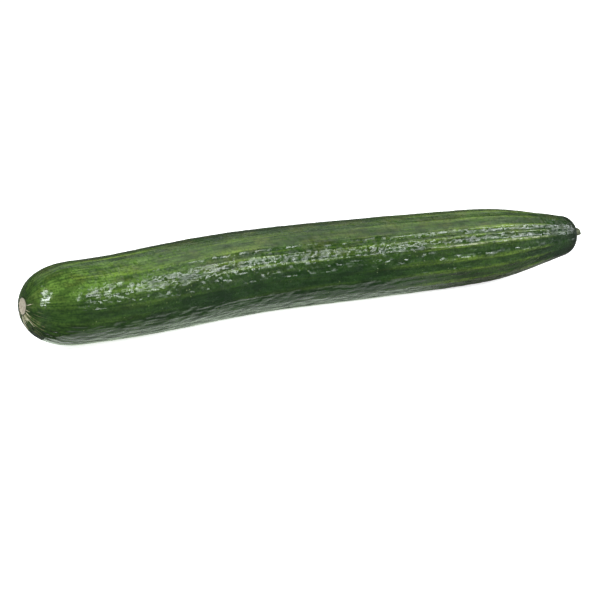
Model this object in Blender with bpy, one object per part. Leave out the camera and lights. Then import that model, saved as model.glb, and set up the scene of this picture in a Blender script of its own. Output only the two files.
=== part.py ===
"""A long greenhouse cucumber as it lies on a table: the fruit, and the cut stub of its stem.

Run it with blender --background --python part.py, or from Blender's text editor.
Sizes are in metres and +Z is up. X runs along the fruit, from the blossom end to the stem end.
The fruit rests on Z = 0 with a small flat on its belly, and the origin is under the middle of its box.
"""

import math
import random

import bmesh
import bpy
import numpy as np
from mathutils import Vector

MM = 0.001

# The fruit's driving sizes
LENGTH = 330 * MM  # along X, from the blossom scar to the crown of the stem end
GIRTH_RADIUS = 21.4 * MM  # at the thickest place, before the ribs
BELLY_PRESS = 0.8 * MM  # how far the belly is pressed flat where it rests

# Share of the length, and the radius there as a share of GIRTH_RADIUS, before the ends are rounded
BODY_RADII = (
    (0.00, 0.910),
    (0.10, 0.920),
    (0.22, 0.975),
    (0.40, 0.995),
    (0.60, 0.995),
    (0.74, 0.968),
    (0.84, 0.897),
    (0.92, 0.690),
    (1.00, 0.450),
)
# Share of the length, and how far the middle line lies to the side there: a fruit is never quite straight
BEND = (
    (0.00, -6.2 * MM),
    (0.18, -1.5 * MM),
    (0.37, 9.2 * MM),
    (0.57, 5.8 * MM),
    (0.78, -1.3 * MM),
    (1.00, -6.2 * MM),
)
# Share of the length, and how far the middle line rises there off its lowest height
RISE = (
    (0.00, 2.7 * MM),
    (0.05, 1.1 * MM),
    (0.20, 0.2 * MM),
    (0.40, 0.0),
    (0.60, 0.0),
    (0.80, 0.3 * MM),
    (1.00, 0.9 * MM),
)
# Each rounded end is a superellipse: its length along X, and its power
BLOSSOM_DOME = (29 * MM, 2.5)
STEM_DOME = (8.6 * MM, 2.5)

# The corky scar where the flower dropped off: a shallow dish inside a raised lip
SCAR_RADIUS = 4.0 * MM
SCAR_LIP = 0.35 * MM
SCAR_DISH = 0.5 * MM
SCAR_PROFILE = (  # from the middle out: share of the dish's depth, and share of SCAR_RADIUS
    (1.0, 0.45),
    (0.8, 0.85),
    (0.0, 1.00),
)

# The low crown that the stem grows from, and the socket that holds the root of the stem
CROWN_RADIUS = 3.4 * MM
CROWN_HEIGHT = 0.8 * MM
CROWN_PROFILE = (  # from the foot up: share of CROWN_HEIGHT, and share of CROWN_RADIUS
    (0.35, 0.84),
    (0.80, 0.76),
    (1.00, 0.69),
)
SOCKET_RADIUS = 2.05 * MM
SOCKET_DEPTH = 1.6 * MM
ROOT_GAP = 0.3 * MM  # between the socket and the root, all round

# The ribs: the angle of each crest in degrees, from level and away over the top, and its strength
RIBS = (
    (2, 0.70),
    (24, 0.90),
    (45, 0.60),
    (63, 0.80),
    (84, 0.65),
    (103, 0.70),
    (120, 0.55),
    (139, 0.90),
    (150, 0.65),
    (163, 1.00),
    (185, 0.85),
    (201, 0.75),
    (222, 0.90),
    (243, 0.60),
    (262, 0.80),
    (285, 0.70),
    (306, 0.95),
    (332, 0.60),
)
RIB_HEIGHTS = (  # share of the length, and the height of a full rib there, from groove to crest
    (0.00, 0.00),
    (0.12, 0.14 * MM),
    (0.40, 0.28 * MM),
    (0.65, 0.45 * MM),
    (0.83, 0.62 * MM),
    (0.93, 0.30 * MM),
    (1.00, 0.00),
)
RIB_CREST = 0.22  # half width of a crest, as a share of the gap to the next rib
RIB_GROOVE = 0.35  # how deep the grooves lie under the smooth body, as a share of a full rib's height
RIB_TWIST = math.radians(-5)  # how far the ribs wind round from end to end
LOBE_HEIGHT = 0.35 * MM  # the three seed chambers make the section a little three-sided
LOBE_TURN = math.radians(20)

# Low swellings and dents, longer along the fruit than round it
SWELLING_COUNT = 70
SWELLING_HEIGHT = 0.34 * MM
SWELLING_MIX = (-0.6, 1.0)  # the deepest dent and the highest swelling, as shares of SWELLING_HEIGHT
SWELLING_NUDGE = 0.5  # radians that each one may lie off an even spiral
SWELLING_REACH = (6.5 * MM, 3.2 * MM)  # along the fruit, and round it
SWELLING_END = 2.5  # reaches from its middle past which a swelling has no height left
SWELLING_SPAN = (0.05, 0.80)  # the stretch of the fruit that has them
FADE_RADIUS = 8 * MM  # relief dies out within this distance of the middle line
SEED = 11

# The stub of the stem
STEM_LENGTH = 4.6 * MM  # from the top of the crown to the cut
STEM_RADIUS = 1.75 * MM
STEM_ANGLES = 5
STEM_ANGLE_HEIGHT = 0.26 * MM
ANGLED_SPAN = (0.20, 0.53)  # the stretch of the stem where its angles rise, as shares from root to cut
SWOLLEN_SPAN = (0.375, 1.0)  # the stretch where it thickens towards the cut
STEM_SWELLING = 0.16  # how much thicker it is at the cut
STEM_LEAN = Vector((0.0, 0.10, 0.16))  # how it leans off X, for each metre along it
CUT_SLANT = 0.35  # the cut is not quite square
CUT_DISH = 0.3 * MM
CUT_RIM = 0.8  # where the dish of the cut starts, as a share of its radius

# Fineness of the faceted skin
SEGMENTS_PER_RIB = 4
SKIN_RINGS = 62
PROFILE_SAMPLES = 2000
STEM_SEGMENTS_PER_ANGLE = 6
STEM_RINGS = 9
CREASE_ANGLE = math.radians(50)

SKIN_COLOUR = (0.055, 0.130, 0.022, 1.0)
SKIN_ROUGHNESS = 0.32
STEM_COLOUR = (0.190, 0.220, 0.085, 1.0)
STEM_ROUGHNESS = 0.62


def smooth_curve(stations):
    """A function of share that passes smoothly through (share, value) stations: a natural cubic spline."""
    shares = np.array([share for share, _ in stations])
    values = np.array([value for _, value in stations])
    widths = np.diff(shares)
    slopes = np.diff(values) / widths
    last = len(stations) - 1
    system = np.eye(last + 1)
    bending = np.zeros(last + 1)
    for i in range(1, last):
        system[i, i - 1 : i + 2] = widths[i - 1], 2 * (widths[i - 1] + widths[i]), widths[i]
        bending[i] = 6 * (slopes[i] - slopes[i - 1])
    curvatures = np.linalg.solve(system, bending)

    def value_at(share):
        i = min(max(int(np.searchsorted(shares, share)) - 1, 0), last - 1)
        b = (share - shares[i]) / widths[i]
        a = 1 - b
        sag = (a**3 - a) * curvatures[i] + (b**3 - b) * curvatures[i + 1]
        return float(a * values[i] + b * values[i + 1] + sag * widths[i] ** 2 / 6)

    return value_at


body_radius_share = smooth_curve(BODY_RADII)
bend_at = smooth_curve(BEND)
rise_at = smooth_curve(RISE)
rib_height_at = smooth_curve(RIB_HEIGHTS)


def ease(value, low, high):
    """0 below low, 1 above high, and a smooth step between."""
    share = min(max((value - low) / (high - low), 0.0), 1.0)
    return share * share * (3 - 2 * share)


def dome(distance, length, power):
    """Share of the full radius that a superelliptic end leaves at this distance from its tip."""
    if distance >= length:
        return 1.0
    return (1 - (1 - max(distance, 0.0) / length) ** power) ** (1 / power)


def body_radius(share):
    """The fruit's radius before its relief."""
    full = GIRTH_RADIUS * body_radius_share(share)
    return full * dome(share * LENGTH, *BLOSSOM_DOME) * dome((1 - share) * LENGTH, *STEM_DOME)


def spine_point(x):
    """The middle line of the fruit at x metres from the blossom end. Past the ends it runs on straight."""
    share = min(max(x / LENGTH, 0.0), 1.0)
    return Vector((x, bend_at(share), GIRTH_RADIUS - BELLY_PRESS + rise_at(share)))


def spine_axes(x):
    """Across and up, at right angles to the middle line at x."""
    step = 1 * MM
    inside = min(max(x, step), LENGTH - step)
    along = (spine_point(inside + step) - spine_point(inside - step)).normalized()
    across = Vector((0, 0, 1)).cross(along).normalized()
    return across, along.cross(across)


def rib_angles(segments_per_rib):
    """Angles round the fruit, with the same number of segments between each pair of crests."""
    angles = []
    for k, (degrees, _) in enumerate(RIBS):
        gap = (RIBS[(k + 1) % len(RIBS)][0] - degrees) % 360
        for step in range(segments_per_rib):
            angles.append(math.radians(degrees + gap * step / segments_per_rib))
    return angles


def rib_relief(share, angle):
    """Height of the ribs: rounded crests with broader grooves between them."""
    height = 0.0
    for k, (degrees, strength) in enumerate(RIBS):
        before = (degrees - RIBS[k - 1][0]) % 360
        after = (RIBS[(k + 1) % len(RIBS)][0] - degrees) % 360
        turned = (math.degrees(angle) - degrees + 180) % 360 - 180
        gap = after if turned > 0 else before
        height += strength * math.exp(-((turned / (RIB_CREST * gap)) ** 2))
    return rib_height_at(share) * (height - RIB_GROOVE)


def swelling_places():
    """(x, angle, height) of each low swelling or dent, by an even spiral with a seeded nudge."""
    draw = random.Random(SEED)
    golden_turn = math.pi * (3 - math.sqrt(5))
    first, last = SWELLING_SPAN
    places = []
    for k in range(SWELLING_COUNT):
        share = first + (last - first) * (k + draw.random()) / SWELLING_COUNT
        angle = (k * golden_turn + draw.uniform(-SWELLING_NUDGE, SWELLING_NUDGE)) % math.tau
        places.append((share * LENGTH, angle, SWELLING_HEIGHT * draw.uniform(*SWELLING_MIX)))
    return places


def swelling_relief(x, angle, radius, swellings):
    """Height of the swellings and dents that are near this place on the skin."""
    height = 0.0
    for middle_x, middle_angle, middle_height in swellings:
        along = (x - middle_x) / SWELLING_REACH[0]
        if abs(along) > SWELLING_END:
            continue
        turned = (angle - middle_angle + math.pi) % math.tau - math.pi
        around = turned * radius / SWELLING_REACH[1]
        height += middle_height * math.exp(-(along**2) - around**2)
    return height


def skin_height(x, angle, radius, swellings):
    """How far the skin stands off the smooth body at this place."""
    share = min(max(x / LENGTH, 0.0), 1.0)
    lobes = LOBE_HEIGHT * math.cos(3 * angle + LOBE_TURN)
    height = lobes + rib_relief(share, angle) + swelling_relief(x, angle, radius, swellings)
    return height * ease(radius - CROWN_RADIUS, 0.0, FADE_RADIUS)


def dome_profile():
    """(x, radius) along the skin between the scar's rim and the crown, spaced evenly along the skin."""
    samples = []
    for k in range(PROFILE_SAMPLES + 1):
        # A cosine spacing keeps the samples close together where the ends curve most
        share = (1 - math.cos(math.pi * k / PROFILE_SAMPLES)) / 2
        radius = body_radius(share)
        low = SCAR_RADIUS + SCAR_LIP if share < 0.5 else CROWN_RADIUS
        if radius >= low:
            samples.append((share * LENGTH, radius))
    run = [0.0]
    for (x0, r0), (x1, r1) in zip(samples, samples[1:]):
        run.append(run[-1] + math.hypot(x1 - x0, r1 - r0))
    profile = []
    k = 0
    for ring in range(SKIN_RINGS + 1):
        wanted = run[-1] * ring / SKIN_RINGS
        while k < len(run) - 2 and run[k + 1] < wanted:
            k += 1
        t = (wanted - run[k]) / (run[k + 1] - run[k])
        (x0, r0), (x1, r1) = samples[k], samples[k + 1]
        profile.append((x0 + t * (x1 - x0), r0 + t * (r1 - r0)))
    return profile


def fruit_profile():
    """(x, radius) from the middle of the scar, over the skin, to the floor of the stem's socket."""
    skin = dome_profile()
    lip_x = skin[0][0] - SCAR_LIP
    crown_top = LENGTH + CROWN_HEIGHT
    scar = [(lip_x + depth * SCAR_DISH, share * SCAR_RADIUS) for depth, share in SCAR_PROFILE]
    crown = [(LENGTH + height * CROWN_HEIGHT, share * CROWN_RADIUS) for height, share in CROWN_PROFILE]
    socket = [(crown_top, SOCKET_RADIUS), (crown_top - SOCKET_DEPTH, SOCKET_RADIUS)]
    return scar + skin + crown + socket


def ring_round(x, radius_at, angles, turn=0.0):
    """A closed ring of points round the middle line. radius_at gives the radius at an angle."""
    centre = spine_point(x)
    across, up = spine_axes(x)
    ring = []
    for angle in angles:
        radius = radius_at(angle)
        side = across * math.cos(angle + turn) + up * math.sin(angle + turn)
        ring.append(centre + side * radius)
    return ring


def closed_skin(name, rings, tips):
    """A closed mesh through the rings, with a fan of triangles from each end ring to its tip."""
    bm = bmesh.new()
    loops = [[bm.verts.new(point) for point in ring] for ring in rings]
    for near, far in zip(loops, loops[1:]):
        for k in range(len(near)):
            after = (k + 1) % len(near)
            bm.faces.new((near[k], near[after], far[after], far[k]))
    for tip, loop in zip(tips, (loops[0], loops[-1])):
        middle = bm.verts.new(tip)
        for k in range(len(loop)):
            bm.faces.new((loop[k], loop[(k + 1) % len(loop)], middle))
    bmesh.ops.recalc_face_normals(bm, faces=bm.faces)
    mesh = bpy.data.meshes.new(name)
    bm.to_mesh(mesh)
    bm.free()
    mesh.shade_smooth()
    mesh.set_sharp_from_angle(angle=CREASE_ANGLE)
    return mesh


def surface_material(name, colour, roughness):
    """A plain Principled material."""
    material = bpy.data.materials.new(name)
    material.use_nodes = True
    shader = material.node_tree.nodes["Principled BSDF"]
    shader.inputs["Base Color"].default_value = colour
    shader.inputs["Roughness"].default_value = roughness
    shader.inputs["Metallic"].default_value = 0.0
    material.diffuse_color = colour
    return material


def add_object(mesh, material, parent):
    """An object for the mesh, hung on the parent."""
    obj = bpy.data.objects.new(mesh.name, mesh)
    obj.data.materials.append(material)
    obj.parent = parent
    bpy.context.scene.collection.objects.link(obj)
    return obj


def make_fruit(parent):
    """The whole fruit in one piece: body, neck, ribs, swellings, scar, and the crown with its socket."""
    swellings = swelling_places()
    angles = rib_angles(SEGMENTS_PER_RIB)
    profile = fruit_profile()
    rings = []
    for x, radius in profile:

        def radius_at(angle, x=x, radius=radius):
            return radius + skin_height(x, angle, radius, swellings)

        ring = ring_round(x, radius_at, angles, turn=RIB_TWIST * (1 - x / LENGTH))
        for point in ring:
            point.z = max(point.z, 0.0)  # the belly lies flat on the table
        rings.append(ring)
    tips = [spine_point(profile[0][0]), spine_point(profile[-1][0])]
    mesh = closed_skin("fruit", rings, tips)
    return add_object(mesh, surface_material("skin", SKIN_COLOUR, SKIN_ROUGHNESS), parent)


def stem_radius(angle, share):
    """The stem's radius: round at its root, five-angled above the crown, and a little swollen at the cut."""
    angled = ease(share, *ANGLED_SPAN) * STEM_ANGLE_HEIGHT
    waist = STEM_RADIUS * (1 + STEM_SWELLING * ease(share, *SWOLLEN_SPAN))
    return waist + angled * (1 + math.cos(STEM_ANGLES * angle)) / 2


def make_stem(parent):
    """The cut stub of the stem. Its root stands in the socket with a gap all round."""
    crown_top = LENGTH + CROWN_HEIGHT
    root_x = crown_top - SOCKET_DEPTH + ROOT_GAP
    cut_x = crown_top + STEM_LENGTH
    segments = STEM_ANGLES * STEM_SEGMENTS_PER_ANGLE
    angles = [math.tau * k / segments for k in range(segments)]
    rings = []
    for k in range(STEM_RINGS + 1):
        share = k / STEM_RINGS
        x = root_x + share * (cut_x - root_x)

        def radius_at(angle, share=share):
            return stem_radius(angle, share)

        ring = ring_round(x, radius_at, angles)
        middle = sum(ring, Vector()) / segments
        past_crown = max(x - crown_top, 0.0)
        slant = CUT_SLANT * past_crown / STEM_LENGTH
        rings.append(
            [point + STEM_LEAN * past_crown - Vector((slant * (point.z - middle.z), 0, 0)) for point in ring]
        )
    cut_middle = sum(rings[-1], Vector()) / segments
    rings.append([cut_middle + CUT_RIM * (point - cut_middle) for point in rings[-1]])
    tips = [spine_point(root_x), cut_middle - Vector((CUT_DISH, 0, 0))]
    mesh = closed_skin("stem", rings, tips)
    return add_object(mesh, surface_material("stem", STEM_COLOUR, STEM_ROUGHNESS), parent)


def put_origin_under_box(parent, pieces):
    """Moves the parent so that the world origin is under the middle of the pieces' common box."""
    corners = [vertex.co for piece in pieces for vertex in piece.data.vertices]
    for axis in (0, 1):
        values = [corner[axis] for corner in corners]
        parent.location[axis] = -(min(values) + max(values)) / 2


def main():
    for obj in list(bpy.data.objects):
        bpy.data.objects.remove(obj)
    cucumber = bpy.data.objects.new("cucumber", None)
    bpy.context.scene.collection.objects.link(cucumber)
    pieces = [make_fruit(cucumber), make_stem(cucumber)]
    put_origin_under_box(cucumber, pieces)


main()
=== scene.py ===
# %% [markdown]
# # A long cucumber on a table
# This notebook dresses a plain solid model of a greenhouse cucumber until it looks like the real thing.
# The solid model is the frame: it gives the true size and the place of the fruit and of its stem, and the
# pieces that are made here keep to it. A cucumber has one glossy green skin, so nearly all of its
# character is in the relief of that skin, in the way its green changes, and in the light.

# %% Load the frame
import math
import random

import bpy
import numpy as np
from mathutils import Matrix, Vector


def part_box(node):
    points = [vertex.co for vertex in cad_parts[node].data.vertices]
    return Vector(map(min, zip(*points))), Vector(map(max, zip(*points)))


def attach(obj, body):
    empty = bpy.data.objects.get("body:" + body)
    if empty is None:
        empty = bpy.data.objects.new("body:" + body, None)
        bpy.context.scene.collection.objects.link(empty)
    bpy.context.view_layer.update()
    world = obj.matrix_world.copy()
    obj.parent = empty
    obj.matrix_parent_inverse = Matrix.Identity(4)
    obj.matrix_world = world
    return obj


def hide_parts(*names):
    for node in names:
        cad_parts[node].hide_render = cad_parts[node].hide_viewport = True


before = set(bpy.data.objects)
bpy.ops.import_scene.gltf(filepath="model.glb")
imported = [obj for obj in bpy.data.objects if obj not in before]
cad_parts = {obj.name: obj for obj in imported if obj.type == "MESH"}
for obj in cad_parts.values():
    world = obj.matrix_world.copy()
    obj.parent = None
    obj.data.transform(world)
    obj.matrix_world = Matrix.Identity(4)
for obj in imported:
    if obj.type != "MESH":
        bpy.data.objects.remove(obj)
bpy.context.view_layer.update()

MM = 0.001
SCENE = bpy.context.scene
print("frame nodes:", sorted(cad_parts))

# %% [markdown]
# ## A shorter way to write node trees
# Nodes are added and linked one by one, which makes long scripts. With this helper a formula is written
# from the inside out: each call adds one node and returns its output, ready to be the input of the next. It
# serves geometry and shader trees alike.

# %% Node tree helper
class Tree:
    """A node tree that is written as nested calls. Each call returns an output socket."""

    def __init__(self, tree):
        self.tree = tree

    def add(self, kind, inputs=None, output=0, **settings):
        """Adds a node with these settings and inputs, and returns one of its outputs."""
        node = self.tree.nodes.new(kind)
        for name, value in settings.items():
            setattr(node, name, value)
        self.fill(node, inputs or {})
        return node.outputs[output] if len(node.outputs) else node

    def fill(self, node, inputs):
        """Feeds several inputs of a node, each found by its name or number."""
        for name, value in inputs.items():
            self.feed(node.inputs[name], value)

    def feed(self, socket, value):
        """Links an output to the socket, or sets the socket's own value. Colours get an alpha of 1."""
        if isinstance(value, bpy.types.NodeSocket):
            self.tree.links.new(value, socket)
        else:
            socket.default_value = (*value, 1.0) if socket.type == "RGBA" else value

    def math(self, operation, *values):
        """One Math node."""
        return self.add("ShaderNodeMath", dict(enumerate(values)), operation=operation)

    def times(self, product, *factors):
        """The product of all the values."""
        for factor in factors:
            product = self.math("MULTIPLY", product, factor)
        return product

    def scale_add(self, value, factor, rest):
        """value * factor + rest."""
        return self.math("MULTIPLY_ADD", value, factor, rest)

    def circle(self, angle, radius):
        """The two places across X of a point at this angle and radius."""
        return [self.times(self.math(kind, angle), radius) for kind in ("COSINE", "SINE")]

    def vector(self, operation, *values):
        """One Vector Math node that gives a vector."""
        return self.add("ShaderNodeVectorMath", dict(enumerate(values)), operation=operation)

    def scaled(self, vector, factor):
        """A vector times a number."""
        return self.add("ShaderNodeVectorMath", {0: vector, "Scale": factor}, operation="SCALE")

    def length(self, vector):
        """The length of a vector."""
        return self.add("ShaderNodeVectorMath", {0: vector}, output="Value", operation="LENGTH")

    def parts(self, vector):
        """The three outputs X, Y and Z of a vector."""
        return tuple(self.add("ShaderNodeSeparateXYZ", {0: vector}).node.outputs)

    def join(self, x, y, z):
        """A vector from its three parts."""
        return self.add("ShaderNodeCombineXYZ", {0: x, 1: y, 2: z})

    def step(self, value, low, high, out_low=0.0, out_high=1.0):
        """A smooth step from out_low to out_high while the value goes from low to high."""
        inputs = {"Value": value, "From Min": low, "From Max": high, "To Min": out_low, "To Max": out_high}
        return self.add("ShaderNodeMapRange", inputs, interpolation_type="SMOOTHSTEP")

    def noise(self, vector, scale, detail=2.0, roughness=0.5, distortion=0.0):
        """Soft noise between about 0 and 1."""
        names = ("Vector", "Scale", "Detail", "Roughness", "Distortion")
        inputs = dict(zip(names, (vector, scale, detail, roughness, distortion)))
        return self.add("ShaderNodeTexNoise", inputs)

    def cells(self, vector, scale, **settings):
        """Distance to the nearest of many scattered points."""
        return self.add("ShaderNodeTexVoronoi", {"Vector": vector, "Scale": scale}, "Distance", **settings)

    def mix(self, share, first, second):
        """A colour between two colours."""
        inputs = {"Factor": share, "A": first, "B": second}
        return self.add("ShaderNodeMix", inputs, "Result", data_type="RGBA")


print("node helper ready")

# %% [markdown]
# ## The camera
# The fruit was photographed from a little above the table with a long lens, so its far end looks hardly
# smaller. The camera is placed by its direction, its distance and the spot that it is aimed at, so that the
# picture can be matched by changing one value at a time.

# %% Camera
LENS_MM = 84.0
SENSOR_MM = 36.0
CLIP_START = 10 * MM
VIEW_AZIMUTH = math.radians(-31.72)
VIEW_ELEVATION = math.radians(14.12)
VIEW_DISTANCE = 0.7384
VIEW_AIM = Vector((-0.00663, 0.01256, 0.0))


def put_in_scene(name, data):
    """A new object with this data."""
    item = bpy.data.objects.new(name, data)
    SCENE.collection.objects.link(item)
    return item


def add_camera():
    """The camera at the photograph's angle."""
    level, rise = math.cos(VIEW_ELEVATION), math.sin(VIEW_ELEVATION)
    back = Vector((math.sin(VIEW_AZIMUTH) * level, -math.cos(VIEW_AZIMUTH) * level, rise))
    camera = put_in_scene("camera", bpy.data.cameras.new("camera"))
    camera.data.lens = LENS_MM
    camera.data.sensor_width = SENSOR_MM
    camera.data.clip_start = CLIP_START
    camera.location = VIEW_AIM + VIEW_DISTANCE * back
    camera.rotation_euler = (-back).to_track_quat("-Z", "Y").to_euler()
    SCENE.camera = camera
    return camera


camera = add_camera()
print("camera stands at", [round(value, 3) for value in camera.location])

# %% [markdown]
# ## The shape of the fruit
# A cucumber's shape is best said as curves along its length: how thick it is, how far it bends aside and
# how high its middle line lies. Each is a short list of stations, joined by a natural cubic spline, because
# a glossy skin would show every jump in the curvature.

# %% Curves along the fruit
LENGTH = 330 * MM
GIRTH_RADIUS = 21.4 * MM
BELLY_PRESS = 0.8 * MM
BODY_RADII = (
    (0.00, 0.910), (0.10, 0.920), (0.22, 0.975), (0.40, 0.995), (0.60, 0.995), (0.74, 0.968),
    (0.84, 0.897), (0.92, 0.690), (1.00, 0.450),
)
BEND = (
    (0.00, -6.2 * MM), (0.18, -1.5 * MM), (0.37, 9.2 * MM), (0.57, 5.8 * MM), (0.78, -1.3 * MM),
    (1.00, -6.2 * MM),
)
RISE = (
    (0.00, 2.7 * MM), (0.05, 1.1 * MM), (0.20, 0.2 * MM), (0.40, 0.0), (0.60, 0.0), (0.80, 0.3 * MM),
    (1.00, 0.9 * MM),
)


def smooth_curve(stations):
    """A natural cubic spline through (share, value) stations, as a function of an array of shares."""
    shares, values = np.array(stations).T
    widths = np.diff(shares)
    slopes = np.diff(values) / widths
    last = len(stations) - 1
    system = np.eye(last + 1)
    bending = np.zeros(last + 1)
    for i in range(1, last):
        system[i, i - 1 : i + 2] = widths[i - 1], 2 * (widths[i - 1] + widths[i]), widths[i]
        bending[i] = 6 * (slopes[i] - slopes[i - 1])
    curvatures = np.linalg.solve(system, bending)

    def value_at(share):
        i = np.clip(np.searchsorted(shares, share) - 1, 0, last - 1)
        b = (share - shares[i]) / widths[i]
        a = 1 - b
        sag = (a**3 - a) * curvatures[i] + (b**3 - b) * curvatures[i + 1]
        return a * values[i] + b * values[i + 1] + sag * widths[i] ** 2 / 6

    return value_at


radius_share = smooth_curve(BODY_RADII)
bend_at = smooth_curve(BEND)
rise_at = smooth_curve(RISE)
print("radius in mm at the middle:", round(1000 * GIRTH_RADIUS * float(radius_share(0.5)), 2))

# %% [markdown]
# ## The two ends
# The blossom end is a full round dome with a corky scar where the flower dropped off. The stem end narrows
# to a neck and closes with a small crown. Half an ellipse would be too pointed for both, so each end is a
# superellipse, whose power says how boxy it is.

# %% Ends, scar and crown
BLOSSOM_DOME = (29 * MM, 2.5)
STEM_DOME = (8.6 * MM, 2.5)
SCAR_RADIUS = 4.0 * MM
SCAR_LIP = 0.35 * MM
SCAR_DISH = 0.5 * MM
SCAR_POWER = 4
SCAR_RINGS = np.linspace(0.12, 1, 9)  # as shares of its radius
CROWN_RADIUS = 3.4 * MM
CROWN_HEIGHT = 0.8 * MM
CROWN_PROFILE = ((0.35, 0.84), (0.80, 0.76), (1.00, 0.69))  # shares of its height and radius
SOCKET_RADIUS = 2.05 * MM
SOCKET_DEPTH = 1.6 * MM
SKIN_RINGS = 428
PROFILE_SAMPLES = 6000


def dome(distance, length, power):
    """Share of the full radius that a superelliptic end leaves at these distances from its tip."""
    inside = np.clip(distance / length, 0, 1)
    return (1 - (1 - inside) ** power) ** (1 / power)


def smooth_radius(share):
    """The radius before any relief."""
    full = GIRTH_RADIUS * radius_share(share)
    return full * dome(share * LENGTH, *BLOSSOM_DOME) * dome((1 - share) * LENGTH, *STEM_DOME)


def skin_profile():
    """(x, radius) of each ring, from the middle of the scar to the floor of the stem's socket."""
    share = (1 - np.cos(np.linspace(0, math.pi, PROFILE_SAMPLES))) / 2
    radius = smooth_radius(share)
    low = np.where(share < 0.5, SCAR_RADIUS + SCAR_LIP, CROWN_RADIUS)
    x, radius = share[radius >= low] * LENGTH, radius[radius >= low]
    run = np.concatenate([[0], np.cumsum(np.hypot(np.diff(x), np.diff(radius)))])
    even = np.linspace(0, run[-1], SKIN_RINGS)
    body = np.column_stack([np.interp(even, run, x), np.interp(even, run, radius)])
    lip = body[0, 0] - SCAR_LIP
    scar = np.column_stack([lip + SCAR_DISH * (1 - SCAR_RINGS**SCAR_POWER), SCAR_RINGS * SCAR_RADIUS])
    crown = [(LENGTH + up * CROWN_HEIGHT, out * CROWN_RADIUS) for up, out in CROWN_PROFILE]
    top = LENGTH + CROWN_HEIGHT
    socket = [(top, SOCKET_RADIUS), (top - SOCKET_DEPTH, SOCKET_RADIUS)]
    return np.concatenate([scar, body, crown, socket])


profile = skin_profile()
print("rings:", len(profile), "and one every", round(1000 * LENGTH / SKIN_RINGS, 2), "mm or so")

# %% [markdown]
# ## Ribs and swellings
# The ribs are strongest at the neck and fade out over the blossom half. They are unevenly spaced, so a
# table gives the angle of each crest, counted from level and away over the top, and its strength. Three
# seed chambers make the section a little three-sided. Low swellings and dents keep the outline from looking
# turned on a lathe.

# %% Relief that the solid model also has
RIBS = (
    (2, 0.70), (24, 0.90), (45, 0.60), (63, 0.80), (84, 0.65), (103, 0.70), (120, 0.55), (139, 0.90),
    (150, 0.65), (163, 1.00), (185, 0.85), (201, 0.75), (222, 0.90), (243, 0.60), (262, 0.80),
    (285, 0.70), (306, 0.95), (332, 0.60),
)
RIB_HEIGHTS = (
    (0.00, 0.00), (0.12, 0.14 * MM), (0.40, 0.28 * MM), (0.65, 0.45 * MM), (0.83, 0.62 * MM),
    (0.93, 0.30 * MM), (1.00, 0.00),
)
RIB_CREST = 0.22  # width of a crest, as a share of the way to the next
RIB_GROOVE = 0.35  # the share of a full rib that lies below the smooth radius
RIB_TWIST = math.radians(-5)
LOBE_HEIGHT = 0.35 * MM
LOBE_TURN = math.radians(20)
SWELLING_COUNT = 70
SWELLING_HEIGHT = 0.34 * MM
SWELLING_REACH = (6.5 * MM, 3.2 * MM)
SWELLING_SPAN = (0.05, 0.80)
SWELLING_NUDGE = 0.5
SWELLING_MIX = (-0.6, 1.0)  # dents are negative
FADE_RADIUS = 8 * MM
SEED = 11
SEGMENTS_PER_RIB = 12


def rib_angles():
    """Angles round the fruit, with the same number of segments between each pair of crests."""
    crests = np.array([degrees for degrees, _ in RIBS] + [RIBS[0][0] + 360])
    steps = np.arange(len(RIBS) * SEGMENTS_PER_RIB) / SEGMENTS_PER_RIB
    return np.radians(np.interp(steps, np.arange(len(crests)), crests))


def rib_crests(angle):
    """1 on the crest of a full rib and 0 in the grooves."""
    height = np.zeros_like(angle)
    for k, (degrees, strength) in enumerate(RIBS):
        before = (degrees - RIBS[k - 1][0]) % 360
        after = (RIBS[(k + 1) % len(RIBS)][0] - degrees) % 360
        turned = (np.degrees(angle) - degrees + 180) % 360 - 180
        reach = RIB_CREST * np.where(turned > 0, after, before)
        height += strength * np.exp(-((turned / reach) ** 2))
    return height


def swelling_relief(x, angle, radius):
    """Height of the swellings and dents, laid out by an even spiral with a seeded nudge."""
    draw = random.Random(SEED)
    golden_turn = math.pi * (3 - math.sqrt(5))
    first, last = SWELLING_SPAN
    height = np.zeros_like(x)
    for k in range(SWELLING_COUNT):
        middle_x = LENGTH * (first + (last - first) * (k + draw.random()) / SWELLING_COUNT)
        middle_angle = k * golden_turn + draw.uniform(-SWELLING_NUDGE, SWELLING_NUDGE)
        middle_height = SWELLING_HEIGHT * draw.uniform(*SWELLING_MIX)
        turned = (angle - middle_angle + math.pi) % math.tau - math.pi
        along = (x - middle_x) / SWELLING_REACH[0]
        around = turned * radius / SWELLING_REACH[1]
        height += middle_height * np.exp(-(along**2) - around**2)
    return height


rib_height_at = smooth_curve(RIB_HEIGHTS)
print("ribs:", len(RIBS), "and swellings:", SWELLING_COUNT)

# %% [markdown]
# ## The skin as one fine mesh
# A curve with a bevel could not give the ribs their uneven spacing. A grid of rings and segments is as
# short to write, and its segments run along the crests. It stores where each point would lie if the fruit
# were straight, so that patterns follow the bend, and how near it is to a crest.

# %% Fruit mesh
def spine_frames(x):
    """Middle line of the fruit at these x, and its across and up directions."""

    def middle(x):
        share = np.clip(x / LENGTH, 0, 1)
        return np.column_stack([x, bend_at(share), GIRTH_RADIUS - BELLY_PRESS + rise_at(share)])

    step = 1 * MM
    inside = np.clip(x, step, LENGTH - step)
    along = middle(inside + step) - middle(inside - step)
    along /= np.linalg.norm(along, axis=1)[:, None]
    across = np.cross((0, 0, 1), along)
    across /= np.linalg.norm(across, axis=1)[:, None]
    return middle(x), across, np.cross(along, across)


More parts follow.
